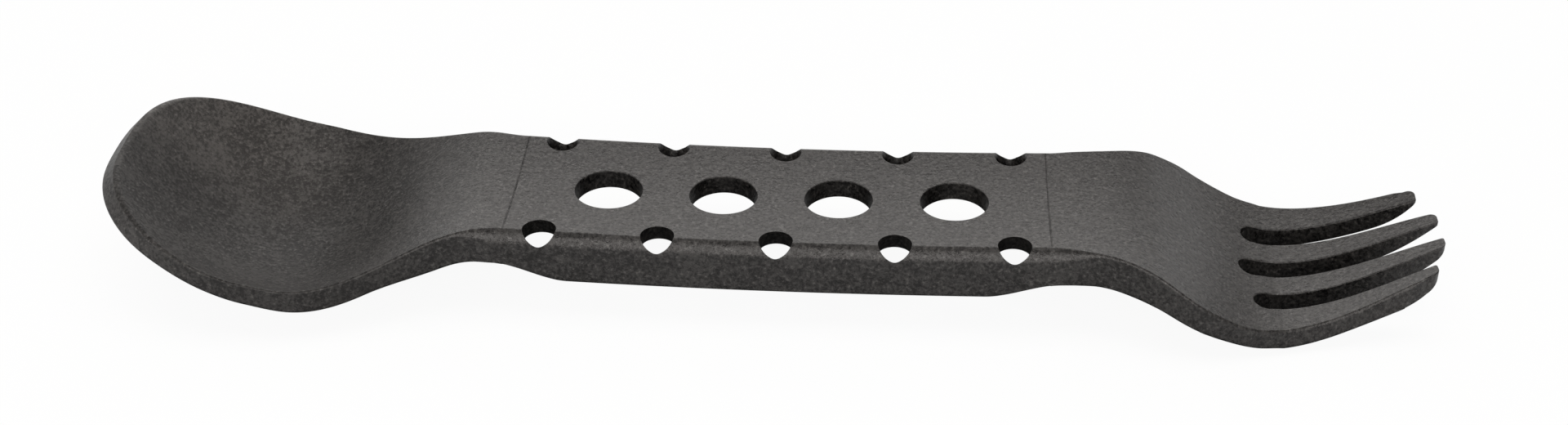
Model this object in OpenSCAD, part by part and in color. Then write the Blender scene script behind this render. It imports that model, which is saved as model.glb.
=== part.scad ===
// Double-ended camping spork: a spoon head and a four-tined fork head on a drilled channel handle.
// X runs along the handle with the fork at +X, Z is up, and the two bellies rest on Z = 0.
// All lengths are millimetres.

/* [Overall] */
// Height of the handle's top face above the table, at the middle of its length
handle_rise = 11.3; // [9.5:0.1:16]
// Length of the spoon head, from its witness line to the rim of its tip
spoon_len = 50.7; // [46:0.5:62]
// Length of the handle between the two witness lines
handle_len = 69.2; // [67:0.2:90]
// Length of the fork head, from its witness line to the tips of the inner tines
fork_len = 50.4; // [46:0.2:60]

/* [Handle] */
// Width of the handle over its two side flanges, at their top
handle_w = 24.7; // [24:0.1:30]
// Thickness of the handle's plate
plate_t = 2.55; // [1.8:0.05:3]
// Depth of the side flanges, from the middle of the top face to their feet
flange_h = 6.1; // [5:0.1:8]
// Thickness of a side flange at its foot
flange_t = 1.6; // [1.2:0.1:2]
// Width of the rounding along the long upper corners
corner_w = 1.4; // [0.8:0.1:2.2]
// Height of the rounding along the long upper corners
corner_h = 1.6; // [0.8:0.1:2.4]
// Radius of the lengthwise bow, hollow side up
bow_r = 946; // [700:1:2000]
// Radius of the shallow dish across the top face
dish_r = 105; // [80:1:300]
// Length over which a flange runs out towards a neck
run_out_len = 9.5; // [7:0.1:12]
// Length of a run-out that lies beyond the witness line
run_out_past = 1.4; // [0:0.1:3]
// Depth of the spoon's neck at its sides, from the middle of the top face
spoon_neck_h = 3.8; // [3:0.05:5]
// Depth of the fork's neck at its sides, from the middle of the top face
fork_neck_h = 4.1; // [3:0.05:5]

/* [Holes] */
// Diameter of the round holes down the middle
grip_hole_d = 8.8; // [6:0.1:10]
// Diameter of the holes that break the long corners
edge_hole_d = 4.3; // [3.6:0.1:4.6]
// Depth of an edge hole below the middle of the top face, along the hole
edge_hole_h = 3.4; // [3.2:0.1:4]
// Angle at which an edge hole leans out towards the handle's side
edge_hole_tilt = 20; // [14:1:24]
// Spacing of the holes along the handle, in every row
hole_pitch = 15; // [13:0.1:16]
// Distance from the handle's side to the middle of an edge hole, at the top face
edge_hole_inset = 1.75; // [1.6:0.05:2.4]

/* [Spoon head] */
// Width of the bowl
bowl_w = 39.6; // [34:0.1:46]
// Depth of the bowl across its widest place, from its rims to its floor
bowl_depth = 5.9; // [4:0.1:8]
// Height of the bowl's tip above the table, at its inner rim
bowl_tip_rise = 17.1; // [14:0.1:22]
// Thickness of the bowl's floor
bowl_t = 2.2; // [1.6:0.1:3]
// Height of the rim's face at the tip
bowl_rim_t = 3.15; // [2.8:0.05:3.4]
// Distance from the witness line to the widest place
bowl_wide_at = 31.5; // [28:0.1:34]
// Distance from the witness line to the lowest place of the floor
bowl_floor_at = 28; // [25:0.1:30]

/* [Fork head] */
// Width of the fork at its shoulders
fork_w = 33.1; // [30:0.1:38]
// Thickness of the tines and the palm
fork_t = 2.45; // [1.8:0.05:3]
// Height of the side faces of the outer tines
fork_side_t = 2.4; // [1.6:0.05:2.6]
// Height that the palm is dished by, from its sides to its middle
fork_dish = 0.75; // [0.3:0.05:1.5]
// Height of the tips of the tines above the table, on their top
fork_tip_rise = 9.6; // [8:0.1:14]
// Distance from the witness line to the shoulders
shoulder_at = 19.2; // [17:0.1:22]
// Distance from the witness line to the lowest place of the palm
belly_at = 29.6; // [27:0.1:32]
// Width of the outer tines' outline at their tips
fork_tip_w = 20.7; // [19:0.1:24]

/* [Tines] */
// Width of a slot at its round root
slot_w = 3; // [2:0.1:3.4]
// Distance from the middle slot to an outer slot, at their roots
slot_pitch = 7.6; // [7:0.1:8.4]
// Distance from the witness line to the root of an outer slot
slot_root_at = 26.4; // [24:0.1:30]
// Distance that the middle slot's root lies nearer to the handle
mid_slot_step = 1.1; // [0:0.1:3]
// Distance that the outer tines end short of the inner ones
tine_step = 1.8; // [0:0.1:4]
// Width of an inner tine at its round tip
inner_tip_w = 2.3; // [1.4:0.1:2.6]
// Width of an outer tine at its round tip
outer_tip_w = 2.6; // [1.8:0.1:3.2]
// Distance between the middles of the two inner tips
inner_tip_gap = 5.4; // [4.6:0.1:6]
// Distance between the middles of the two outer tips
outer_tip_gap = 17.7; // [16.5:0.1:19]
// Radius of a tip's corner on the side of the fork's axis
tip_inner_r = 0.4; // [0.3:0.05:0.9]
// Thickness of a tine at its tip
tine_tip_t = 0.7; // [0.6:0.1:1.6]
// Length of the taper under a tip
tine_taper_len = 8; // [4:0.5:12]
// Height that the sides of a tine bow out by at their middle
tine_bulge = 0.4; // [0:0.1:0.8]

/* [Hidden] */

// Colours of the moulded plastic, a shade apart so that the three zones can be told apart
head_shade = "#3a3836";
handle_shade = "#403e3c";

// Counts
GRIP_HOLES = 4;
EDGE_HOLES = 5;
TOP_STEPS = 8;
UNDER_STEPS = 5;
CORNER_STEPS = 3;
NECK_STEPS = 18;
TIP_STEPS = 13;
FORK_STEPS = 34;
EDGE_STEPS = 6;
TIP_ROUND_STEPS = 5;
RUN_OUT_STEPS = 10;
ROUND_FN = 96;
BOW_FN = 1080;

// Small sizes of the section that runs through all three pieces
// Width and height of the small rounding along a head's rim
rim_corner = 0.35;
// Width and height of the softer rounding at the bowl's tip
tip_corner = 0.6;
// Bevel along the feet of the flanges and rims
foot_bevel = 0.3;
// Width that the root of a flange takes beyond its foot
flange_root = 0.35;
// Width over which a rim's underside blends into the floor
rim_blend = 3.2;
// Overrun of a cutting tool past the face that it opens
overrun = 2;
// Length that the palm's skin has beyond the tips before they are cut
tip_over = 0.5;
// Draft of all side faces, in degrees
draft = 3;
// Smallest half width that a section narrows to
point_w = 0.5;
// Length over which a slope is measured
slope_run = 2;
// Angle, short of a right angle, of the last station on the bowl's rounded end
tip_angle = 89.3;

// Share of the floor's slope at which the end face leans out
tip_lean_share = 0.85;

// Places that follow from the sizes above
half_handle = handle_len / 2;
neck_half = handle_w / 2;
handle_corner = [corner_w, corner_h];
bowl_run = spoon_len - bowl_wide_at;
tip_run = spoon_len - bowl_floor_at;
palm_run = fork_len - belly_at;
tip_overhang = bowl_rim_t * sin(tip_lean(spoon_len));
part_len = tip_overhang + spoon_len + handle_len + fork_len;
handle_mid_x = (tip_overhang + spoon_len - fork_len) / 2;
end_bow = bow(half_handle);
neck_top = handle_rise + end_bow;
neck_dish = dish(neck_half);
run_out_from = half_handle + run_out_past - run_out_len;
outer_root_x = slot_root_at + slot_w / 2;
middle_root_x = outer_root_x - mid_slot_step;
outer_reach = fork_len - tine_step;
// Shares of a head's length that its straight start and the fading of its corners take
spoon_flat_share = 0.06;
fork_flat_share = 0.1;
corner_fade_share = 0.14;
// Shares of the spoon's length where its side faces start and stop growing thin
bowl_side_shares = [0.16, 0.34];
// Shares of the spoon's length, and of the rim's height there
rim_height_shares = [[0.3, 1.05], [0.45, 1.05], [0.62, 0.95], [0.7, 0.88], [0.8, 0.85], [0.9, 0.96], [1, 1]];
// Shares of the half width that a rim's foot and its blend take where the section is narrow
foot_share = 0.13;
blend_share = 0.26;
// Share of its thickness that the plate loses towards the flanges
plate_thin_share = 0.1;
// Power of the bowl's rounded end, where 2 is an ellipse
BOWL_END = 2.5;
// Power that holds the bowl's hollow back near the neck
HOLLOW_LAG = 1.4;
// Shares of the way from the handle to the belly, and of the drop that is done by then
palm_drop_shares = [
    [0, 0], [0.12, 0], [0.31, 0.05], [0.45, 0.17], [0.58, 0.4], [0.73, 0.69], [0.88, 0.92], [1, 1]
];
// Share by which the rise from belly to tips is steeper at its start than a plain curve
tip_lift_share = 0.75;
// Shares of the way from the shoulders to the tips, and of the width lost by then
shoulder_shares = [[0, 0], [0.16, 0.09], [0.31, 0.25], [0.52, 0.5], [0.79, 0.81], [1, 1]];
// Shares of the fork's length where its side faces start and stop growing thin
palm_side_shares = [0.18, 0.59];

// Easing from 0 to 1 with level ends
function clamp01(t) = min(1, max(0, t));
function ease(t) = clamp01(t) * clamp01(t) * (3 - 2 * clamp01(t));
function mix(a, b, t) = a + (b - a) * t;

// Smooth curve through a table of [place, value] pairs, level before and after it
function slope_at(table, i) =
    let (last = len(table) - 1, a = max(0, i - 1), b = min(last, i + 1))
    (table[b][1] - table[a][1]) / (table[b][0] - table[a][0]);
function through(table, t, i = 0) =
    t <= table[0][0] ? table[0][1] :
    i >= len(table) - 1 ? table[len(table) - 1][1] :
    t > table[i + 1][0] ? through(table, t, i + 1) :
    let (
        run = table[i + 1][0] - table[i][0],
        s = (t - table[i][0]) / run,
        m0 = slope_at(table, i) * run,
        m1 = slope_at(table, i + 1) * run
    )
    (2 * pow(s, 3) - 3 * pow(s, 2) + 1) * table[i][1] + (pow(s, 3) - 2 * pow(s, 2) + s) * m0
    + (3 * pow(s, 2) - 2 * pow(s, 3)) * table[i + 1][1] + (pow(s, 3) - pow(s, 2)) * m1;

// Rise of the bowed handle at a distance from its middle, and of its dish at a distance from its axis
function bow(x) = bow_r - sqrt(bow_r * bow_r - x * x);
function dish(y) = dish_r - sqrt(dish_r * dish_r - y * y);

// Depth of the sides below the middle of the top face, at a place along the handle
function side_depth(x) =
    mix(flange_h, x < 0 ? spoon_neck_h : fork_neck_h, ease((abs(x) - run_out_from) / run_out_len));

// One closed ring of the section, as [y, top height, depth below the top surface] per point.
// w: half width; rise: dish at the edge; side: height of the side face; mid: floor thickness;
// thin: share of it lost towards the sides; corner: width and height of the upper corner;
// bevel: size of the bevel along the foot; blend: width over which the foot becomes the floor.
function section_side(w, rise, side, mid, thin, corner, bevel, blend) =
    let (
        c = min(corner[0], w / 2),
        foot = min(flange_t, w * foot_share),
        root = w - foot - min(blend, w * blend_share),
        lean = tan(draft) * side,
        top = function (y) rise * pow(y / w, 2)
    )
    [
        for (i = [1 : TOP_STEPS]) let (y = (w - c) * i / TOP_STEPS) [y, top(y), 0],
        for (i = [1 : CORNER_STEPS])
            let (s = i / CORNER_STEPS, y = w - c * (1 - s)) [y, top(y), corner[1] * s * s],
        [w + lean, rise, side - bevel],
        [w + lean - bevel, rise, side],
        [w - foot, rise, side],
        for (i = [0 : UNDER_STEPS - 1])
            let (t = 1 - i / UNDER_STEPS, y = root * t) [y, top(y), mid * (1 - thin * t * t)]
    ];
function mirrored(side) = [for (i = [len(side) - 1 : -1 : 0]) [-side[i][0], side[i][1], side[i][2]]];
function section_ring(w, rise, side, mid, thin, corner, bevel, blend) =
    let (half = section_side(w, rise, side, mid, thin, corner, bevel, blend))
    concat([[0, 0, 0]], half, [[0, 0, mid]], mirrored(half));

// Closed skin over a row of rings, all with the same number of points
module skin(rings) {
    n = len(rings[0]);
    last = len(rings) - 1;
    sides = [
        for (i = [0 : last - 1], j = [0 : n - 1])
            let (a = i * n + j, b = i * n + (j + 1) % n, c = a + n, d = b + n)
            each [[a, b, d], [a, d, c]]
    ];
    start = [for (j = [n - 1 : -1 : 0]) j];
    end = [for (j = [0 : n - 1]) last * n + j];
    polyhedron([for (r = rings) each r], concat(sides, [start, end]), convexity = 8);
}

// Spoon head: every function takes the distance u from the witness line
spoon_flat = spoon_len * spoon_flat_share;
function floor_z(u) =
    u < bowl_floor_at
    ? mix(neck_top, bowl_t, ease((u - spoon_flat) / (bowl_floor_at - spoon_flat)))
    : mix(bowl_t, bowl_tip_rise, pow((u - bowl_floor_at) / tip_run, 2));
function floor_slope(u) =
    u < bowl_floor_at ? 0 : 2 * (bowl_tip_rise - bowl_t) * (u - bowl_floor_at) / pow(tip_run, 2);
function tip_lean(u) = tip_lean_share * atan(floor_slope(u));
function bowl_half(u) =
    u < bowl_wide_at
    ? mix(neck_half, bowl_w / 2, ease((u - spoon_flat) / (bowl_wide_at - spoon_flat - bowl_t)))
    : bowl_w / 2 * pow(max(0, 1 - pow((u - bowl_wide_at) / bowl_run, BOWL_END)), 1 / BOWL_END);
function hollow(u) =
    let (t = clamp01((u - spoon_flat) / (bowl_wide_at - spoon_flat)))
    u < bowl_wide_at
    ? mix(neck_dish, bowl_depth, ease(pow(t, HOLLOW_LAG)))
    : bowl_depth * pow(bowl_half(u) / (bowl_w / 2), 2);
function spoon_side(u) =
    let (
        share = u / spoon_len,
        t = (share - bowl_side_shares[0]) / (bowl_side_shares[1] - bowl_side_shares[0])
    )
    mix(side_depth(-half_handle - u) + neck_dish, bowl_rim_t * through(rim_height_shares, share), ease(t));
// Thickness of the floor, which grows into the lip over the last of the length
function spoon_floor(u) =
    mix(
        mix(plate_t, bowl_t, ease(u / bowl_floor_at)),
        spoon_side(u),
        ease((u - spoon_len + rim_blend) / rim_blend)
    );

function spoon_stations() = concat(
    [for (i = [0 : NECK_STEPS]) bowl_wide_at * i / NECK_STEPS],
    [for (i = [1 : TIP_STEPS])
        bowl_wide_at + bowl_run * pow(sin(tip_angle * i / TIP_STEPS), 2 / BOWL_END)]
);
function spoon_ring(u) =
    let (
        fade = ease(u / spoon_len / corner_fade_share),
        rim = mix(rim_corner, tip_corner, ease((u - bowl_wide_at) / bowl_run)),
        ring = section_ring(
            max(point_w, bowl_half(u)), hollow(u), spoon_side(u), spoon_floor(u),
            mix(plate_thin_share, 0, fade),
            mix(handle_corner, [rim, rim], fade), foot_bevel * fade,
            mix(flange_root, rim_blend, ease(u / bowl_floor_at))
        ),
        lean = tip_lean(u)
    )
    [for (p = ring) [-(u + p[2] * sin(lean)), -p[0], floor_z(u) + p[1] - p[2] * cos(lean)]];

module spoon_head() {
    color(head_shade)
    translate([handle_mid_x - half_handle, 0, 0])
    skin([for (u = spoon_stations()) spoon_ring(u)]);
}

// Handle: the section turned about a far axis for the bow, with its feet run out and its holes drilled
module handle_section() {
    ring = section_ring(
        neck_half, neck_dish, flange_h + neck_dish, plate_t,
        plate_thin_share, handle_corner, foot_bevel, flange_root
    );
    polygon([for (p = ring) [bow_r - p[1] + p[2], p[0]]]);
}

module bowed_channel() {
    sweep = 2 * asin((half_handle + overrun) / bow_r);
    translate([0, 0, handle_rise + bow_r])
    rotate([90, 0, 0])
    rotate([0, 0, -90 - sweep / 2])
    rotate_extrude(angle = sweep, $fn = BOW_FN)
    handle_section();
}

module run_outs() {
    depth = flange_h + handle_rise;
    for (side = [-1, 1]) {
        rotate([90, 0, 0])
        linear_extrude(height = handle_w + 2 * overrun, center = true)
        polygon(concat(
            [for (i = [0 : RUN_OUT_STEPS])
                let (x = mix(run_out_from, half_handle + overrun, i / RUN_OUT_STEPS))
                [side * x, handle_rise + bow(x) - side_depth(side * x)]],
            [[side * (half_handle + overrun), -depth], [side * run_out_from, -depth]]
        ));
    }
}

module hole_rows() {
    for (i = [0 : GRIP_HOLES - 1]) {
        translate([(i - (GRIP_HOLES - 1) / 2) * hole_pitch, 0, handle_rise - plate_t - overrun])
        cylinder(h = plate_t + 2 * overrun, d = grip_hole_d, $fn = ROUND_FN);
    }
    for (i = [0 : EDGE_HOLES - 1], side = [0, 1])
        let (x = (i - (EDGE_HOLES - 1) / 2) * hole_pitch)
        mirror([0, side, 0]) translate([x, 0, handle_rise + bow(x)]) edge_hole();
}

// One edge hole: it leans out, so that it breaks the long corner and ends inside the flange
module edge_hole() {
    translate([0, neck_half - edge_hole_inset, 0])
    rotate([-edge_hole_tilt, 0, 0])
    translate([0, 0, -edge_hole_h])
    cylinder(h = edge_hole_h + 2 * overrun, d = edge_hole_d, $fn = ROUND_FN);
}

module handle() {
    color(handle_shade)
    translate([handle_mid_x, 0, 0])
    difference() {
        intersection() {
            bowed_channel();
            translate([-half_handle, -handle_w, 0])
            cube([handle_len, 2 * handle_w, 2 * handle_rise]);
        }
        run_outs();
        hole_rows();
    }
}

// Fork head: every function takes the distance u from the witness line
fork_flat = fork_len * fork_flat_share;
function palm_z(u) =
    u < belly_at
    ? mix(neck_top, fork_t, through(palm_drop_shares, u / belly_at))
    : let (t = (u - belly_at) / palm_run)
        mix(fork_t, fork_tip_rise, t * t * (1 + tip_lift_share * (1 - t)));
function palm_slope(u) = (palm_z(u + slope_run / 2) - palm_z(u - slope_run / 2)) / slope_run;
function fork_half(u) =
    u < shoulder_at
    ? mix(neck_half, fork_w / 2, ease((u - fork_flat) / (shoulder_at - fork_flat)))
    : let (t = (u - shoulder_at) / (outer_reach - shoulder_at))
        mix(fork_w / 2, fork_tip_w / 2, through(shoulder_shares, t));
function fork_side(u) =
    let (t = (u / fork_len - palm_side_shares[0]) / (palm_side_shares[1] - palm_side_shares[0]))
    mix(side_depth(half_handle + u) + neck_dish, fork_side_t, ease(t));
// Share of its thickness that a tine has lost to the taper under its tip
function taper(u, y) =
    let (
        outer = ease((abs(y) - slot_pitch + slot_w / 2) / slot_w),
        left = (mix(fork_len, outer_reach, outer) - u) / tine_taper_len
    )
    (1 - tine_tip_t / fork_t) * pow(1 - clamp01(left), 2);
function fork_ring(u) =
    let (
        fade = ease(u / fork_len / corner_fade_share),
        upright = sqrt(1 + pow(palm_slope(u), 2)),
        ring = section_ring(
            fork_half(u), mix(neck_dish, fork_dish, ease(u / shoulder_at)), fork_side(u),
            mix(plate_t, fork_t, ease(u / shoulder_at)) * mix(1, upright, ease(u / shoulder_at)),
            mix(plate_thin_share, 0, ease(u / shoulder_at)),
            mix(handle_corner, [rim_corner, rim_corner], fade), foot_bevel * fade,
            mix(flange_root, rim_blend, ease(u / belly_at))
        )
    )
    [for (p = ring) [u, p[0], palm_z(u) + p[1] - p[2] * (1 - taper(u, p[0]))]];

// Plan of a tine's edge, bowed out by bulge at its middle
function tine_edge(from, to, bulge) = [
    for (i = [0 : EDGE_STEPS]) let (t = i / EDGE_STEPS)
    [mix(from[0], to[0], t), mix(from[1], to[1], t) + bulge * 4 * t * (1 - t)]
];
// Plan of one tine: its root's two sides, and the middle, width and bulges of the rest.
// The tip has a small corner on the side of the fork's axis and a round one on the other.
module tine_plan(root_x, root_in, root_out, reach, tip_y, tip_w, bulge_in, bulge_out) {
    r = tip_w / 2;
    cap = [reach - r, tip_y];
    inner = [reach - tip_inner_r, tip_y - r + tip_inner_r];
    polygon(concat(
        tine_edge([root_x, root_in], inner - [0, tip_inner_r], -bulge_in),
        [for (i = [1 : TIP_ROUND_STEPS])
            let (a = -90 + 90 * i / TIP_ROUND_STEPS) inner + tip_inner_r * [cos(a), sin(a)]],
        [for (i = [0 : TIP_ROUND_STEPS - 1])
            let (a = 90 * i / TIP_ROUND_STEPS) cap + r * [cos(a), sin(a)]],
        [for (i = [EDGE_STEPS : -1 : 0]) tine_edge([root_x, root_out], cap + [0, r], bulge_out)[i]]
    ));
}

module fork_plan() {
    outer_side = slot_pitch + slot_w / 2;
    difference() {
        union() {
            translate([-overrun, -fork_w])
            square([outer_root_x + overrun, 2 * fork_w]);
            for (side = [0, 1]) mirror([0, side]) {
                tine_plan(outer_root_x - slot_w / 2, slot_w / 2, slot_pitch - slot_w / 2,
                    fork_len, inner_tip_gap / 2, inner_tip_w, tine_bulge / 2, tine_bulge);
                tine_plan(outer_root_x - slot_w / 2, outer_side, fork_w / 2 + overrun,
                    outer_reach, outer_tip_gap / 2, outer_tip_w, tine_bulge, 0);
            }
        }
        for (side = [-1, 1]) translate([outer_root_x, side * slot_pitch]) circle(d = slot_w, $fn = ROUND_FN);
        translate([middle_root_x, 0]) circle(d = slot_w, $fn = ROUND_FN);
        translate([middle_root_x, -slot_w / 2]) square([mid_slot_step + slot_w / 2, slot_w]);
    }
}

module fork_head() {
    color(head_shade)
    translate([handle_mid_x + half_handle, 0, 0])
    intersection() {
        skin([for (i = [0 : FORK_STEPS]) fork_ring((fork_len + tip_over) * i / FORK_STEPS)]);
        translate([0, 0, -overrun])
        linear_extrude(height = 2 * handle_rise)
        fork_plan();
    }
}

spoon_head();
handle();
fork_head();
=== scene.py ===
import math
from types import SimpleNamespace

import bmesh
import bpy
import numpy as np
from mathutils import Matrix, Vector


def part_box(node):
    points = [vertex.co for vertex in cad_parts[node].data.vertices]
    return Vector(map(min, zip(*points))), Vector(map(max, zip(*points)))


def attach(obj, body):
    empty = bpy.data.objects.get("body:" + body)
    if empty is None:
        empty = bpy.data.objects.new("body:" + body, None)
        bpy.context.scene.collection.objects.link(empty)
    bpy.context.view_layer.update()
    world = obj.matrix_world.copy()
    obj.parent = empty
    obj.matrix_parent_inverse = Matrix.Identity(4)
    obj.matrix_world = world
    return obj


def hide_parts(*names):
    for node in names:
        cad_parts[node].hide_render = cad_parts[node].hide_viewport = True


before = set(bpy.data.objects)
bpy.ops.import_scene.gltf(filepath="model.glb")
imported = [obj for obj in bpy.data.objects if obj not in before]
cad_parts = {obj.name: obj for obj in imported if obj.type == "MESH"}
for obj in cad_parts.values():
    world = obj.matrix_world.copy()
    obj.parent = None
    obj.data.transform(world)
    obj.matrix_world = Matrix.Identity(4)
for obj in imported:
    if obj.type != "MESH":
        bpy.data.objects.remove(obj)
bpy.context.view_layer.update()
MM = 0.001

# Lengths of the three zones, and the height of the handle's top face above the table
HANDLE_RISE, SPOON_LEN, HANDLE_LEN, FORK_LEN = 11.3, 50.7, 69.2, 50.4

# Handle: the plate, the flanges and their run-outs into the necks, and the rounded long corners
HANDLE_W, PLATE_T, FLANGE_H, FLANGE_T = 24.7, 2.55, 6.1, 1.6
LONG_CORNER = (1.4, 1.6)
BOW_R, DISH_R = 946, 105
RUN_OUT_LEN, RUN_OUT_PAST = 9.5, 1.4
SPOON_NECK_H, FORK_NECK_H = 3.8, 4.1

# Holes: round ones down the middle, and leaning ones that break the long corners
HOLE_PITCH, GRIP_HOLES, GRIP_HOLE_D = 15, 4, 8.8
EDGE_HOLES, EDGE_HOLE_D, EDGE_HOLE_H, EDGE_HOLE_TILT, EDGE_HOLE_INSET = 5, 4.3, 3.4, 20, 1.85

# Bowl: its sizes, and the distances from the witness line to its widest and its lowest place
BOWL_W, BOWL_DEPTH, BOWL_TIP_RISE, BOWL_T, BOWL_RIM_T = 39.6, 5.9, 17.1, 2.2, 3.15
BOWL_WIDE_AT, BOWL_FLOOR_AT = 31.5, 28

# Fork: its sizes, the distances from the witness line to its shoulders and its belly, and the slots
FORK_W, FORK_T, FORK_SIDE_T, FORK_DISH, FORK_TIP_RISE = 33.1, 2.45, 2.4, 0.75, 9.6
SHOULDER_AT, BELLY_AT, FORK_TIP_W = 19.2, 29.6, 20.7
SLOT_W, SLOT_PITCH, SLOT_ROOT_AT, MID_SLOT_STEP, TINE_STEP = 3.5, 7.6, 26.4, 1.1, 1.8

# Places that follow from the sizes above
HALF_HANDLE, NECK_HALF = HANDLE_LEN / 2, HANDLE_W / 2
RUN_OUT_FROM = HALF_HANDLE + RUN_OUT_PAST - RUN_OUT_LEN
BOWL_RUN, TIP_RUN = SPOON_LEN - BOWL_WIDE_AT, SPOON_LEN - BOWL_FLOOR_AT
SPOON_FLAT, FORK_FLAT = SPOON_LEN * 0.06, FORK_LEN * 0.1
OUTER_ROOT = SLOT_ROOT_AT + SLOT_W / 2
MIDDLE_ROOT = OUTER_ROOT - MID_SLOT_STEP
OUTER_REACH = FORK_LEN - TINE_STEP

# Tines: reach of the tip, its width and its middle, and how far the sides bow out. Under the tip, the
# side towards the fork's axis loses the share thin of its thickness over THIN_RUN, up to thin_from
# before the end, and the share sharp over the last sharp_len. The other side thins to blunt_t over
# BLUNT_LEN and gains the share swell over SWELL_LEN. TIP_TURN is the width from one side to the other,
# and TINE_BLEND the width in an outer slot over which the inner tines' shape gives way to the outer's.
INNER_TINE = SimpleNamespace(
    reach=FORK_LEN, tip_w=2.3, tip_at=2.85, bulge=0.2, thin=0.1, thin_from=8,
    sharp=0.75, sharp_len=9, sharp_power=2.2, blunt_t=1.0, blunt_power=3, swell=0)
OUTER_TINE = SimpleNamespace(
    reach=OUTER_REACH, tip_w=2.5, tip_at=8.55, bulge=0, thin=0.2, thin_from=12,
    sharp=0.7, sharp_len=6, sharp_power=3, blunt_t=1.2, blunt_power=5.5, swell=0.16)
THIN_RUN, BLUNT_LEN, SWELL_LEN = 8, 8, 12
TIP_INNER_R, TIP_TURN, TINE_BLEND = 0.4, 2.4, 2

# Tops of the tines: their extra height, where it starts and over what run it grows, the same for the
# inset of their outer edges, and what the tips add to both from TIP_ZONE before the end
TINE_RISE, TINE_RISE_AT, TINE_RISE_RUN = 0.25, 22, 8
EDGE_IN, EDGE_IN_AT, EDGE_IN_RUN, EDGE_IN_POWER = 0.3, 24, 8, 8
TIP_ZONE, TIP_ZONE_RUN, TIP_RISE, OUTER_TIP_RISE = 13, 12, 0.06, 0.12

# Small sizes of the section that runs through all three zones, and of its witness grooves. A point
# less than ON_TOP deep counts as on the top face.
RIM_CORNER, TIP_CORNER, FOOT_BEVEL, FLANGE_ROOT, RIM_BLEND, POINT_W = 0.35, 0.6, 0.3, 0.35, 3.2, 0.2
TOP_SOFT, FOOT_SOFT, HOLE_SOFT, SLOT_SOFT = 0.3, 0.15, 0.12, 0.14
GROOVE_HALF_W, GROOVE_DEPTH, GROOVE_END, GROOVE_FADE, ON_TOP = 0.14, 0.09, 0.9, 0.5, 0.01
DRAFT = math.tan(math.radians(3))
TOP_STEPS, CORNER_STEPS, CORNER_END, UNDER_STEPS = 60, 12, 0.88, 30

# Tools: how far drills and the tine cutter reach past what they cut, the angle above which an edge
# stays sharp, and the distance within which points count as one
DRILL_OVER, EDGE_DRILL_OVER, COMB_OVER, COMB_RISE = 6, 4, 2, 9
SHARP_ANGLE, WELD = 28, 0.001

# Shares: heights of the bowl's rim along the spoon, drop of the palm on its way to the belly, and
# width lost from the shoulders to the tips
RIM_HEIGHTS = [(0.3, 1.05), (0.45, 1.05), (0.62, 0.95), (0.7, 0.88), (0.8, 0.85), (0.9, 0.96), (1, 1)]
PALM_DROP = [(0, 0), (0.12, 0), (0.31, 0.05), (0.45, 0.17), (0.58, 0.4), (0.73, 0.69), (0.88, 0.92), (1, 1)]
SHOULDER_LOSS = [(0, 0), (0.16, 0.09), (0.31, 0.25), (0.52, 0.5), (0.79, 0.81), (1, 1)]
# Shares of a head's length where its side faces start to grow thin, and over which they do
BOWL_SIDE, PALM_SIDE = (0.16, 0.18), (0.18, 0.41)
# Other shares, and the powers of the bowl's rounded end and of the lag of its hollow near the neck
CORNER_FADE, FOOT_FADE, FOOT_SHARE, BLEND_SHARE, SOFT_SHARE = 0.14, 0.9, 0.13, 0.26, 0.45
PLATE_THIN, TIP_LEAN, TIP_LIFT = 0.1, 0.85, 0.75
BOWL_END, HOLLOW_LAG = 2.5, 1.4


def ease(t):
    """Smooth step from 0 to 1, for a number or an array."""
    t = np.clip(t, 0, 1)
    return t * t * (3 - 2 * t)


def eased(t, start, run):
    """0 up to start, and 1 when t is past it by run."""
    return ease((t - start) / run)


def mix(a, b, t):
    return a + (b - a) * t


def through(table, t):
    """Smooth curve through a table of (place, value) pairs, level before and after it."""
    last = len(table) - 1
    t = min(max(t, table[0][0]), table[last][0])
    i = next(k for k in range(last) if t <= table[k + 1][0])
    (a, at_a), (b, at_b) = table[i], table[i + 1]
    (before, at_before), (after, at_after) = table[max(0, i - 1)], table[min(last, i + 2)]
    rise_a = (at_b - at_before) / (b - before) * (b - a)
    rise_b = (at_after - at_a) / (after - a) * (b - a)
    s = (t - a) / (b - a)
    return ((2 * s**3 - 3 * s**2 + 1) * at_a + (s**3 - 2 * s**2 + s) * rise_a
            + (3 * s**2 - 2 * s**3) * at_b + (s**3 - s**2) * rise_b)


def bow(x):
    """Rise of the handle's lengthwise bow at a distance from its middle."""
    return BOW_R - math.sqrt(BOW_R * BOW_R - x * x)


NECK_DISH = DISH_R - math.sqrt(DISH_R**2 - NECK_HALF**2)
NECK_TOP = HANDLE_RISE + bow(HALF_HANDLE)


def run_out(x):
    """0 where the flanges have their whole depth, 1 where they have run out into a neck."""
    return eased(abs(x), RUN_OUT_FROM, RUN_OUT_LEN)


def side_depth(x):
    """Depth of the sides below the middle of the top face."""
    return mix(FLANGE_H, SPOON_NECK_H if x < 0 else FORK_NECK_H, run_out(x))


def softened(before, at, after, reach, steps=5):
    """Points of a short curve that rounds off a sharp point of a section."""
    before, at, after = (np.array(p, dtype=float) for p in (before, at, after))
    start, end = (at + (p - at) * min(SOFT_SHARE, reach / max(np.linalg.norm(p - at), 1e-6))
                  for p in (before, after))
    return [start * (1 - t) ** 2 + at * 2 * t * (1 - t) + end * t * t for t in np.linspace(0, 1, steps + 1)]


def straight(start, end, steps):
    """Points of a straight side, without its two ends."""
    return [start + (end - start) * t for t in np.linspace(0, 1, steps + 1)[1:-1]]


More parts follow.
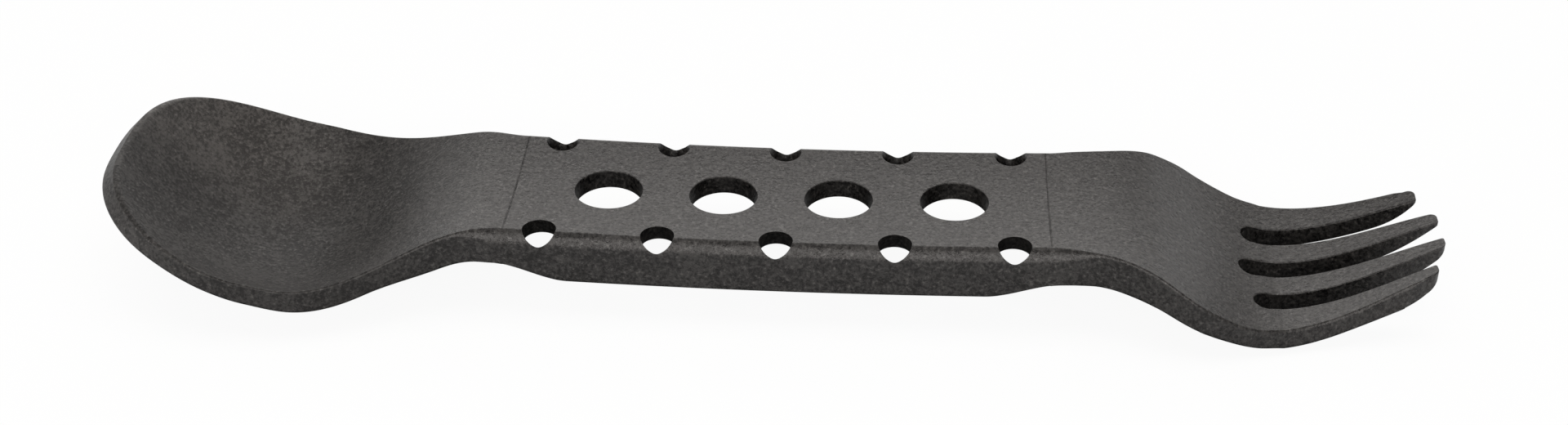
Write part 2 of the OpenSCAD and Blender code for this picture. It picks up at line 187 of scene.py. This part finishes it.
def section(w, rise, side, mid, thin, corner, bevel, blend, drop=None):
    """Closed section as rows of (y, height of the top, depth below it), its edges softly rounded.

    w is half its width, rise the dish at its edge, side the height of its side face, mid the thickness
    in its middle, thin the share of that lost towards the sides, corner the width and height of the
    rounded upper corner, bevel the one along the foot, and blend the width from the foot to the floor.
    drop gives the depth of the rounded rim at a y, where the outline isn't square to the section.
    """
    c = min(corner[0], w / 2)
    drop = drop or (lambda y: corner[1] * max(0.0, (y - w + c) / c) ** 2)
    foot = min(FLANGE_T, w * FOOT_SHARE)
    root = w - foot - min(blend, w * BLEND_SHARE)
    lean = DRAFT * side

    def row(y, depth):
        return (y, rise * min(1.0, y / w) ** 2, depth)

    top = [row(y, drop(y)) for y in np.linspace(0, w - c, TOP_STEPS + 1)[1:]]
    top += [row(y, drop(y)) for y in w - c * (1 - np.linspace(0, CORNER_END, CORNER_STEPS)[1:])]
    turn, heel, toe = row(w, corner[1]), row(w + lean, side - bevel), row(w + lean - bevel, side)
    inner, spring = row(w - foot, side), row(root, mid * (1 - thin))
    under = [row(root * t, mid * (1 - thin * t * t)) for t in np.linspace(1, 0, UNDER_STEPS + 1)[1:-1]]

    shoulder = softened(top[-1], turn, heel, TOP_SOFT)
    sole = softened(turn, heel, toe, FOOT_SOFT, steps=3) + softened(heel, toe, inner, FOOT_SOFT)
    sole += softened(toe, inner, spring, FOOT_SOFT, steps=7)
    arch = softened(inner, spring, under[0], TOP_SOFT, steps=7)
    outside, inside = straight(shoulder[-1], sole[0], 8), straight(sole[-1], arch[0], 9)
    near = np.array(top + shoulder + outside + sole + inside + arch + under)
    return np.vstack([[(0, 0, drop(0))], near, [(0, 0, mid)], near[::-1] * (-1, 1, 1)])


def groove(x, y, depth):
    """Depth of the fine witness grooves, which only the top face has."""
    across = np.clip(1 - np.abs(np.abs(x) - HALF_HANDLE) / GROOVE_HALF_W, 0, 1)
    along = np.clip((NECK_HALF - GROOVE_END - np.abs(y)) / GROOVE_FADE, 0, 1)
    return np.where(depth < ON_TOP, GROOVE_DEPTH * across * along, 0)


# Spoon: u is the distance from the handle's witness line towards the tip
def floor_z(u):
    if u < BOWL_FLOOR_AT:
        return mix(NECK_TOP, BOWL_T, eased(u, SPOON_FLAT, BOWL_FLOOR_AT - SPOON_FLAT))
    return mix(BOWL_T, BOWL_TIP_RISE, ((u - BOWL_FLOOR_AT) / TIP_RUN) ** 2)


def floor_slope(u):
    return 2 * (BOWL_TIP_RISE - BOWL_T) * max(0, u - BOWL_FLOOR_AT) / TIP_RUN**2


def bowl_half(u):
    if u < BOWL_WIDE_AT:
        return mix(NECK_HALF, BOWL_W / 2, eased(u, SPOON_FLAT, BOWL_WIDE_AT - SPOON_FLAT - BOWL_T))
    left = 1 - ((u - BOWL_WIDE_AT) / BOWL_RUN) ** BOWL_END
    return BOWL_W / 2 * max(0.0, left) ** (1 / BOWL_END)


def hollow(u):
    """Depth of the top face's hollow at u, from its sides to its middle."""
    if u < BOWL_WIDE_AT:
        t = max(0.0, (u - SPOON_FLAT) / (BOWL_WIDE_AT - SPOON_FLAT))
        return mix(NECK_DISH, BOWL_DEPTH, ease(t**HOLLOW_LAG))
    return BOWL_DEPTH * (bowl_half(u) / (BOWL_W / 2)) ** 2


def spoon_side(u):
    share = u / SPOON_LEN
    neck = side_depth(-HALF_HANDLE - u) + NECK_DISH
    return mix(neck, BOWL_RIM_T * through(RIM_HEIGHTS, share), eased(share, *BOWL_SIDE))


def spoon_floor(u):
    """Thickness of the floor, which grows into the lip over the last of the length."""
    floor = mix(PLATE_T, BOWL_T, ease(u / BOWL_FLOOR_AT))
    return mix(floor, spoon_side(u), eased(u, SPOON_LEN - RIM_BLEND, RIM_BLEND))


def tip_rim(u, rim):
    """Function for the depth of the rounded rim at a y, from the distance to the bowl's outline."""
    past = (u - BOWL_WIDE_AT) / BOWL_RUN

    def drop(y):
        across = y * 2 / BOWL_W
        out = (past**BOWL_END + across**BOWL_END) ** (1 / BOWL_END)
        slope_u = (past / out) ** (BOWL_END - 1) / BOWL_RUN
        slope_y = (across / out) ** (BOWL_END - 1) * 2 / BOWL_W
        return rim * max(0.0, 1 - max(0.0, 1 - out) / math.hypot(slope_u, slope_y) / rim) ** 2

    return drop


def spoon_ring(u):
    fade = ease(u / SPOON_LEN / CORNER_FADE)
    rim = mix(RIM_CORNER, TIP_CORNER, eased(u, BOWL_WIDE_AT, BOWL_RUN))
    y, top, depth = section(
        max(POINT_W, bowl_half(u)), hollow(u), spoon_side(u), spoon_floor(u), mix(PLATE_THIN, 0, fade),
        [mix(a, rim, fade) for a in LONG_CORNER], FOOT_BEVEL * fade,
        mix(FLANGE_ROOT, RIM_BLEND, ease(u / BOWL_FLOOR_AT)), tip_rim(u, rim) if u > BOWL_WIDE_AT else None,
    ).T
    lean = TIP_LEAN * math.atan(floor_slope(u))
    x = -HALF_HANDLE - u - depth * math.sin(lean)
    z = floor_z(u) + top - depth * math.cos(lean) - groove(x, y, depth)
    return np.column_stack([x, y, z])


def handle_ring(x):
    y, top, depth = section(
        NECK_HALF, NECK_DISH, side_depth(x) + NECK_DISH, PLATE_T, PLATE_THIN, LONG_CORNER,
        FOOT_BEVEL * (1 - FOOT_FADE * run_out(x)), FLANGE_ROOT,
    ).T
    z = HANDLE_RISE + bow(x) + top - depth - groove(x, y, depth)
    return np.column_stack([np.full_like(y, x), y, z])


def handle_top(x, y):
    return HANDLE_RISE + bow(x) + NECK_DISH * (y / NECK_HALF) ** 2


# Fork: u is the distance from the handle's other witness line towards the tips
def palm_z(u):
    if u < BELLY_AT:
        return mix(NECK_TOP, FORK_T, through(PALM_DROP, u / BELLY_AT))
    t = (u - BELLY_AT) / (FORK_LEN - BELLY_AT)
    return mix(FORK_T, FORK_TIP_RISE, t * t * (1 + TIP_LIFT * (1 - t)))


def fork_half(u):
    if u < SHOULDER_AT:
        return mix(NECK_HALF, FORK_W / 2, eased(u, FORK_FLAT, SHOULDER_AT - FORK_FLAT))
    lost = through(SHOULDER_LOSS, (u - SHOULDER_AT) / (OUTER_REACH - SHOULDER_AT))
    return mix(FORK_W / 2, FORK_TIP_W / 2, lost)


def palm_dish(u):
    return mix(NECK_DISH, FORK_DISH, ease(u / SHOULDER_AT))


def near_tips(u):
    return eased(u, FORK_LEN - TIP_ZONE, TIP_ZONE_RUN)


def outward(u, y):
    """0 on the fork's axis and 1 at its outline."""
    return np.clip(np.abs(y) / fork_half(u), 0, 1)


def tine_lift(u, y):
    """Extra height of the tines' tops, a little more at the outer tips."""
    at_tips = TIP_RISE + OUTER_TIP_RISE * outward(u, y) ** 2
    return TINE_RISE * eased(u, TINE_RISE_AT, TINE_RISE_RUN) + near_tips(u) * at_tips


def edge_inset(u, y, depth_share):
    """How far the outer tines' upper edges stand in, which their sides lose on the way down."""
    inset = EDGE_IN * (eased(u, EDGE_IN_AT, EDGE_IN_RUN) + near_tips(u))
    return np.sign(y) * inset * outward(u, y) ** EDGE_IN_POWER * np.clip(1 - depth_share, 0, 1)


def tine_loss(tine, u, y):
    """Share of its thickness that a tine has lost under its tip, more on the side of the fork's axis."""
    left = tine.reach - u
    axis_side = tine.thin * ease(1 - (left - tine.thin_from) / THIN_RUN)
    axis_side += tine.sharp * np.clip(1 - left / tine.sharp_len, 0, 1) ** tine.sharp_power
    blunt_side = (1 - tine.blunt_t / FORK_T) * np.clip(1 - left / BLUNT_LEN, 0, 1) ** tine.blunt_power
    blunt_side -= tine.swell * ease(1 - left / SWELL_LEN)
    return mix(axis_side, blunt_side, np.clip((y - tine.tip_at) / TIP_TURN + 0.5, 0, 1))


def tip_loss(u, y):
    """What all four tines lose, with the change from inner to outer ones in the outer slots."""
    between_tips = (INNER_TINE.tip_at + INNER_TINE.tip_w / 2 + OUTER_TINE.tip_at - OUTER_TINE.tip_w / 2) / 2
    slot_y = mix(SLOT_PITCH, between_tips, np.clip((u - OUTER_ROOT) / (FORK_LEN - OUTER_ROOT), 0, 1))
    outer = ease((y - slot_y) / TINE_BLEND + 0.5)
    return mix(tine_loss(INNER_TINE, u, y), tine_loss(OUTER_TINE, u, y), outer)


def fork_ring(u):
    fade, grown = ease(u / FORK_LEN / CORNER_FADE), ease(u / SHOULDER_AT)
    slope = (palm_z(u + 1) - palm_z(u - 1)) / 2
    side = mix(side_depth(HALF_HANDLE + u) + NECK_DISH, FORK_SIDE_T, eased(u / FORK_LEN, *PALM_SIDE))
    mid = mix(PLATE_T, FORK_T, grown) * mix(1, math.sqrt(1 + slope**2), grown)
    y, top, depth = section(
        fork_half(u), palm_dish(u), side, mid, mix(PLATE_THIN, 0, grown),
        [mix(a, RIM_CORNER, fade) for a in LONG_CORNER], FOOT_BEVEL * fade,
        mix(FLANGE_ROOT, RIM_BLEND, ease(u / BELLY_AT)),
    ).T
    lift = tine_lift(u, y)
    depth = depth * (1 + lift / FORK_T)
    y = y - edge_inset(u, y, depth / side)
    depth = depth * (1 - tip_loss(u, np.abs(y)))
    x = np.full_like(y, HALF_HANDLE + u)
    return np.column_stack([x, y, palm_z(u) + top + lift - depth - groove(x, y, depth)])


def fork_top(u, y):
    return palm_z(u) + tine_lift(u, y) + palm_dish(u) * (y / fork_half(u)) ** 2


def arc(x, y, r, first, last, steps=12):
    turns = np.radians(np.linspace(first, last, steps + 1))
    return [(x + r * math.cos(a), y + r * math.sin(a)) for a in turns]


def tine_edge(start, end, bulge, steps=24):
    return [(mix(start[0], end[0], t), mix(start[1], end[1], t) + bulge * 4 * t * (1 - t))
            for t in np.linspace(0, 1, steps + 1)]


def tine_outline(tine, low, up):
    """A tine's plan in three stretches: its side towards the axis with the tip's small corner, its
    other side, and the tip's round corner. low and up are the sides' places at the slots' roots."""
    r, y = tine.tip_w / 2, tine.tip_at
    axis_side = tine_edge((SLOT_ROOT_AT, low), (tine.reach - TIP_INNER_R, y - r), -tine.bulge)
    axis_side += arc(tine.reach - TIP_INNER_R, y - r + TIP_INNER_R, TIP_INNER_R, -90, 0)
    far_side = tine_edge((tine.reach - r, y + r), (SLOT_ROOT_AT, up), tine.bulge)
    return axis_side, far_side, arc(tine.reach - r, y, r, 0, 90)


def comb_plan():
    """Plan, in u and y, of all that the fork's palm loses: the slots and the room round the tips."""
    half, clear_len, clear_w, overrun = SLOT_W / 2, 4, 2.2, 3
    past_middle_root, past_outer_root = MIDDLE_ROOT + 0.4, OUTER_ROOT + 0.1
    inner_side, inner_far, inner_tip = tine_outline(INNER_TINE, half, SLOT_PITCH - half)
    outer_side, _, outer_tip = tine_outline(OUTER_TINE, SLOT_PITCH + half, FORK_W / 2)
    path = arc(MIDDLE_ROOT, 0, half, 180, 90)
    path += [p for p in inner_side if p[0] > past_middle_root] + inner_tip
    path += [p for p in inner_far if p[0] > OUTER_ROOT] + arc(OUTER_ROOT, SLOT_PITCH, half, 270, 90)
    path += [p for p in outer_side if p[0] > past_outer_root] + outer_tip
    clear = OUTER_REACH - clear_len
    path += [(clear, OUTER_TINE.tip_at + clear_w), (clear, FORK_W), (FORK_LEN + overrun, FORK_W)]
    return [(x, -y) for x, y in path[:0:-1]] + path


def placed(name, data):
    """A new object in the scene."""
    thing = bpy.data.objects.new(name, data)
    bpy.context.scene.collection.objects.link(thing)
    return thing


def skin(name, rings):
    """Closed skin over a row of rings with the same number of points."""
    n, last = len(rings[0]), len(rings) - 1
    faces = [(i * n + j, i * n + (j + 1) % n, (i + 1) * n + (j + 1) % n, (i + 1) * n + j)
             for i in range(last) for j in range(n)]
    faces += [list(range(n))[::-1], [last * n + j for j in range(n)]]
    mesh = bpy.data.meshes.new(name)
    mesh.from_pydata((np.vstack(rings) * MM).tolist(), [], faces)
    mesh.validate()
    return placed(name, mesh)


def circle_plan(x, y, d, steps=96):
    turns = np.linspace(0, 2 * math.pi, steps, endpoint=False)
    return [(x + d / 2 * math.cos(a), y + d / 2 * math.sin(a)) for a in turns]


def prism(name, plan, low, high, tops=None, flare=0.0):
    """Upright prism on a plan. With tops, the heights of a surface at the plan's points, it flares out
    there on a short curve that ends in a straight stretch, so that what it cuts gets a soft edge."""
    plan = np.array(plan, dtype=float)
    turn = np.sum(np.roll(plan[:, 0], 1) * plan[:, 1] - plan[:, 0] * np.roll(plan[:, 1], 1))
    if turn < 0:
        plan, tops = plan[::-1], tops if tops is None else tops[::-1]

    def unit(rows):
        return rows / np.maximum(np.linalg.norm(rows, axis=1), 1e-9)[:, None]

    ahead = np.roll(plan, -1, axis=0) - plan
    out = unit(np.column_stack([ahead[:, 1], -ahead[:, 0]]))
    out = unit(out + np.roll(out, 1, axis=0))
    levels = [(0, np.full(len(plan), low))]
    if tops is not None:
        curve_angle, straight_out, straight_up = 75, 1.99, 0.3
        bend = np.radians(np.linspace(0, curve_angle, 6))
        levels += [(flare * (1 - np.cos(a)), tops - flare * (1 - np.sin(a))) for a in bend]
        levels.append((flare * straight_out, tops + flare * straight_up))
    levels.append((levels[-1][0], np.full(len(plan), high)))
    return skin(name, [np.column_stack([plan + out * wide, height]) for wide, height in levels])


def cut(piece, cutter):
    """Takes the cutter's shape out of the piece, and deletes the cutter."""
    knife = piece.modifiers.new("knife", "BOOLEAN")
    knife.operation, knife.solver, knife.object = "DIFFERENCE", "MANIFOLD", cutter
    whole = piece.data
    piece.data = bpy.data.meshes.new_from_object(piece.evaluated_get(bpy.context.evaluated_depsgraph_get()))
    piece.modifiers.clear()
    bpy.data.meshes.remove(whole)
    bpy.data.objects.remove(cutter)


def all_rings():
    """All rings of the spork's skin, from the bowl's tip to the tips of the tines."""
    first, tip_over, last_angle = 0.4, 0.5, 89.5
    near_groove = HALF_HANDLE - GROOVE_HALF_W
    rounded = np.sin(np.radians(np.linspace(last_angle, 0, 101)[:-1])) ** (2 / BOWL_END)
    spoon = [*(BOWL_WIDE_AT + BOWL_RUN * rounded), *np.linspace(BOWL_WIDE_AT, first, 101), GROOVE_HALF_W]
    handle = [-HALF_HANDLE, -near_groove, *np.linspace(first - HALF_HANDLE, HALF_HANDLE - first, 161)]
    handle += [near_groove, HALF_HANDLE]
    fork = [GROOVE_HALF_W, *np.linspace(first, FORK_LEN + tip_over, 151)]
    return [spoon_ring(u) for u in spoon] + [handle_ring(x) for x in handle] + [fork_ring(u) for u in fork]


def drill_grip_holes(piece):
    for i in range(GRIP_HOLES):
        plan = circle_plan((i - (GRIP_HOLES - 1) / 2) * HOLE_PITCH, 0, GRIP_HOLE_D)
        tops = np.array([handle_top(x, y) for x, y in plan])
        low, high = HANDLE_RISE - DRILL_OVER, HANDLE_RISE + DRILL_OVER
        cut(piece, prism("grip_drill", plan, low, high, tops, HOLE_SOFT))


def drill_edge_holes(piece):
    for i in range(EDGE_HOLES):
        x = (i - (EDGE_HOLES - 1) / 2) * HOLE_PITCH
        for side in (-1, 1):
            drill = prism("edge_drill", circle_plan(0, 0, EDGE_HOLE_D), -EDGE_HOLE_H, EDGE_DRILL_OVER)
            place = [c * MM for c in (x, side * (NECK_HALF - EDGE_HOLE_INSET), HANDLE_RISE + bow(x))]
            tilt = Matrix.Rotation(-side * math.radians(EDGE_HOLE_TILT), 4, "X")
            drill.data.transform(Matrix.Translation(place) @ tilt)
            cut(piece, drill)


def cut_tines(piece):
    comb = comb_plan()
    tops = np.array([fork_top(u, y) for u, y in comb])
    plan = [(u + HALF_HANDLE, y) for u, y in comb]
    cut(piece, prism("tine_cutter", plan, -COMB_OVER, HANDLE_RISE + COMB_RISE, tops, SLOT_SOFT))


def moulding(mid_x):
    """The whole spork as one skin, drilled and slotted, with the middle of its handle at mid_x."""
    piece = skin("moulding", all_rings())
    drill_grip_holes(piece)
    drill_edge_holes(piece)
    cut_tines(piece)
    piece.data.transform(Matrix.Translation((mid_x, 0, 0)))
    return piece


def zone(moulded, plastic, name, node, low, high):
    """One zone of the moulding between its witness planes, shaded smooth up to its real edges."""
    bm = bmesh.new()
    bm.from_mesh(moulded.data)
    for plane, side in ((low, -1), (high, 1)):
        if plane is None:
            continue
        every = bm.verts[:] + bm.edges[:] + bm.faces[:]
        bmesh.ops.bisect_plane(bm, geom=every, plane_co=(plane, 0, 0), plane_no=(side, 0, 0),
                               clear_outer=True, dist=WELD * MM)
        bmesh.ops.holes_fill(bm, edges=[e for e in bm.edges if e.is_boundary], sides=0)
    for edge in bm.edges:
        edge.smooth = edge.is_manifold and edge.calc_face_angle() < math.radians(SHARP_ANGLE)
    for face in bm.faces:
        face.smooth = True
    mesh = bpy.data.meshes.new(name)
    bm.to_mesh(mesh)
    bm.free()
    mesh.materials.append(plastic)
    piece = placed(name, mesh)
    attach(piece, "root")
    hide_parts(node)


class Value:
    """A value that varies over a surface. An expression on values adds the Math nodes for it."""

    def __init__(self, finish, socket):
        self.finish, self.socket = finish, socket

    def _math(self, operation, a, b):
        return self.finish.add("ShaderNodeMath", {"operation": operation}, {0: a, 1: b})

    def __add__(self, other):
        return self._math("ADD", self, other)

    def __sub__(self, other):
        return self._math("SUBTRACT", self, other)

    def __rsub__(self, other):
        return self._math("SUBTRACT", other, self)

    def __mul__(self, other):
        return self._math("MULTIPLY", self, other)

    def __pow__(self, other):
        return self._math("POWER", self, other)

    __radd__, __rmul__ = __add__, __mul__

    def between(self, low, high):
        """0 below low, 1 above high, and a smooth step from one to the other."""
        return self.finish.add("ShaderNodeMapRange", {"interpolation_type": "SMOOTHSTEP"},
                               {"Value": self, "From Min": low, "From Max": high})


class Finish:
    """The shader of a material or of the world, and the one method that adds a node to it."""

    def __init__(self, owner, coordinates="Object"):
        owner.use_nodes = True
        self.owner, self.tree = owner, owner.node_tree
        self.tree.nodes.clear()
        self.points = self.add("ShaderNodeTexCoord", out=coordinates)

    def add(self, kind, settings=None, values=None, out=0):
        node = self.tree.nodes.new(kind)
        for key, value in (settings or {}).items():
            setattr(node, key, value)
        for key, value in (values or {}).items():
            if isinstance(value, Value):
                self.tree.links.new(value.socket, node.inputs[key])
            else:
                node.inputs[key].default_value = value
        return Value(self, node.outputs[out]) if node.outputs else node

    def place(self, axis):
        """Place along one axis: on a material's object in metres, or in a direction of the world."""
        return self.add("ShaderNodeSeparateXYZ", None, {0: self.points}, axis)

    def noise(self, scale, detail=2, rough=0.5):
        return self.add("ShaderNodeTexNoise", None,
                        {"Vector": self.points, "Scale": scale, "Detail": detail, "Roughness": rough})

    def blend(self, share, a, b):
        """Colour between a and b."""
        return self.add("ShaderNodeMix", {"data_type": "RGBA"}, {0: share, 6: a, 7: b}, out=2)

    def ray(self, kind):
        """1 for rays of one kind, and 0 for others."""
        return self.add("ShaderNodeLightPath", out=kind)

    def seen(self):
        """1 for all rays that show the white surroundings."""
        kinds = "Is Camera Ray", "Is Glossy Ray", "Is Transmission Ray"
        return sum(self.ray(kind) for kind in kinds)


def charcoal_plastic():
    """Dark, slightly warm moulded plastic: a mottled grain, pale specks, and a painted sheen that makes the
    far bowl wall paler.
    """
    f = Finish(bpy.data.materials.new("charcoal_plastic"))
    pit, face, pale_speck_and_sheen = (0.0003, 0.00027, 0.00024, 1), (0.012, 0.0107, 0.0096, 1), (0.07, 0.063, 0.057, 1)
    to_tip = 0 - f.place("X")
    bowl = to_tip.between(0.036, 0.056)
    # Painted sheen: the far wall of the bowl gets a paler colour and more coat, a highlight painted in for
    # the light that wall faces.
    far_wall_painted_sheen = to_tip.between(0.052, 0.074) * f.place("Y").between(-0.002, 0.012)
    specks = f.noise(2200, 2, 0.6).between(0.6, 0.74)
    mottle = f.noise(750, 4, 0.7)
    spots, grain, cloud = mottle - 0.5, f.noise(2200, 3, 0.75) - 0.5, f.noise(130, 3, 0.6) - 0.5
    shade = spots * (1.2 + bowl * 0.5) + grain * 3.2 + cloud * (0.6 + bowl * 0.5) + 0.5
    shade = shade.between(0.05, 0.95)
    # Pale specks of the grain, plus the painted sheen on the far bowl wall, both blended towards the pale
    # colour.
    specks_and_painted_sheen = specks * 0.35 + far_wall_painted_sheen * (shade * 0.35 + 0.14)
    bump = f.add("ShaderNodeBump", None, {"Distance": 0.16 * MM, "Height": grain * 0.6 + spots * 0.8})
    shader = f.add("ShaderNodeBsdfPrincipled", None, {
        "Base Color": f.blend(specks_and_painted_sheen, f.blend(shade, pit, face), pale_speck_and_sheen),
        "Roughness": 0.35 + bowl * 0.23 + spots * 0.5 + grain * 0.4 + cloud * 0.3,
        "Coat Weight": shade * 0.5 + far_wall_painted_sheen * mottle * 0.4 + specks * 0.3, "Coat Roughness": 0.42,
        "Specular IOR Level": 0.4, "Specular Tint": (1, 0.955, 0.935, 1), "Normal": bump})
    f.add("ShaderNodeOutputMaterial", None, {"Surface": shader})
    return f.owner


def studio_floor():
    """Pale paper, white to the camera and in reflections, where the spork doesn't shade it."""
    f = Finish(bpy.data.materials.new("pale_floor"))
    fibres = f.blend(f.noise(60), (0.74, 0.74, 0.735, 1), (0.77, 0.77, 0.765, 1))
    paper = f.add("ShaderNodeBsdfPrincipled", None, {"Base Color": fibres, "Roughness": 0.9})
    unshaded = f.add("ShaderNodeAmbientOcclusion", {"samples": 8}, {"Distance": 0.03}, out="AO") ** 4
    glow = f.add("ShaderNodeEmission", None, {"Strength": 1 - f.ray("Is Glossy Ray") * (1 - unshaded)})
    surface = f.add("ShaderNodeMixShader", None, {0: f.seen() * 0.93, 1: paper, 2: glow})
    f.add("ShaderNodeOutputMaterial", None, {"Surface": surface})
    floor_d, thickness, gap = 6000, 6, 0.02
    floor = prism("studio_floor", circle_plan(0, 0, floor_d, 64), -thickness, -gap)
    floor.data.materials.append(f.owner)


def softbox(name, place, size, power, in_gloss=True):
    """Soft lamp that points at the spork and doesn't show itself."""
    lamp = bpy.data.lights.new(name, "AREA")
    lamp.shape, lamp.size, lamp.size_y, lamp.energy = "RECTANGLE", size[0], size[1], power
    lamp.color = (1.0, 0.985, 0.965)
    box = placed(name, lamp)
    box.location = place
    box.visible_camera, box.visible_glossy = False, in_gloss
    box.rotation_euler = (Vector((0, 0, 0.005)) - box.location).to_track_quat("-Z", "Y").to_euler()


def studio_room():
    """White walls round the table, dimmer to both sides and high up, and brightest straight overhead."""
    f = Finish(bpy.data.worlds.new("studio"), "Generated")
    bpy.context.scene.world = f.owner
    up, aside = f.place("Z"), f.place("X") ** 2
    walls = 1 - up.between(0.66, 0.82) * 0.6 + up.between(0.92, 0.98) * 1.2 - aside.between(0.03, 0.3) * 0.3
    fill = f.add("ShaderNodeBackground", None, {"Color": (1, 1, 1, 1), "Strength": 0.35})
    white = f.add("ShaderNodeBackground", None, {"Color": (1, 0.975, 0.955, 1), "Strength": walls})
    surface = f.add("ShaderNodeMixShader", None, {0: f.seen(), 1: fill, 2: white})
    f.add("ShaderNodeOutputWorld", None, {"Surface": surface})


def photo_camera():
    """Camera at the photograph's viewing angle, solved from the rows of holes."""
    lens = bpy.data.cameras.new("photo_camera")
    lens.sensor_fit, lens.sensor_width, lens.lens = "HORIZONTAL", 36, 50.766
    lens.clip_start, lens.clip_end = 0.01, 20
    view = placed("photo_camera", lens)
    view.location = (0.015880, -0.240186, 0.168617)
    view.rotation_euler = [math.radians(a) for a in (56.44236, -0.12011, 3.46771)]
    bpy.context.scene.camera = view


plastic = charcoal_plastic()
middle = sum(corner[0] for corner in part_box("handle")) / 2
spoon_line, fork_line = middle - HALF_HANDLE * MM, middle + HALF_HANDLE * MM
spork = moulding(middle)
zone(spork, plastic, "spoon_head_shell", "spoon_head", None, spoon_line)
zone(spork, plastic, "handle_shell", "handle", spoon_line, fork_line)
zone(spork, plastic, "fork_head_shell", "fork_head", fork_line, None)
bpy.data.objects.remove(spork)
studio_floor()
softbox("overhead_softbox", (0.0, 0.0, 0.75), (0.9, 0.5), 4.5, in_gloss=False)
softbox("back_softbox", (-0.12, 0.75, 0.45), (0.8, 0.35), 0.9)
softbox("front_softbox", (0.0, -0.75, 0.43), (0.9, 0.2), 3.4)
softbox("left_softbox", (-0.75, -0.4, 0.3), (0.4, 0.4), 1.2)
studio_room()
photo_camera()
bpy.context.scene.view_settings.view_transform = "Standard"
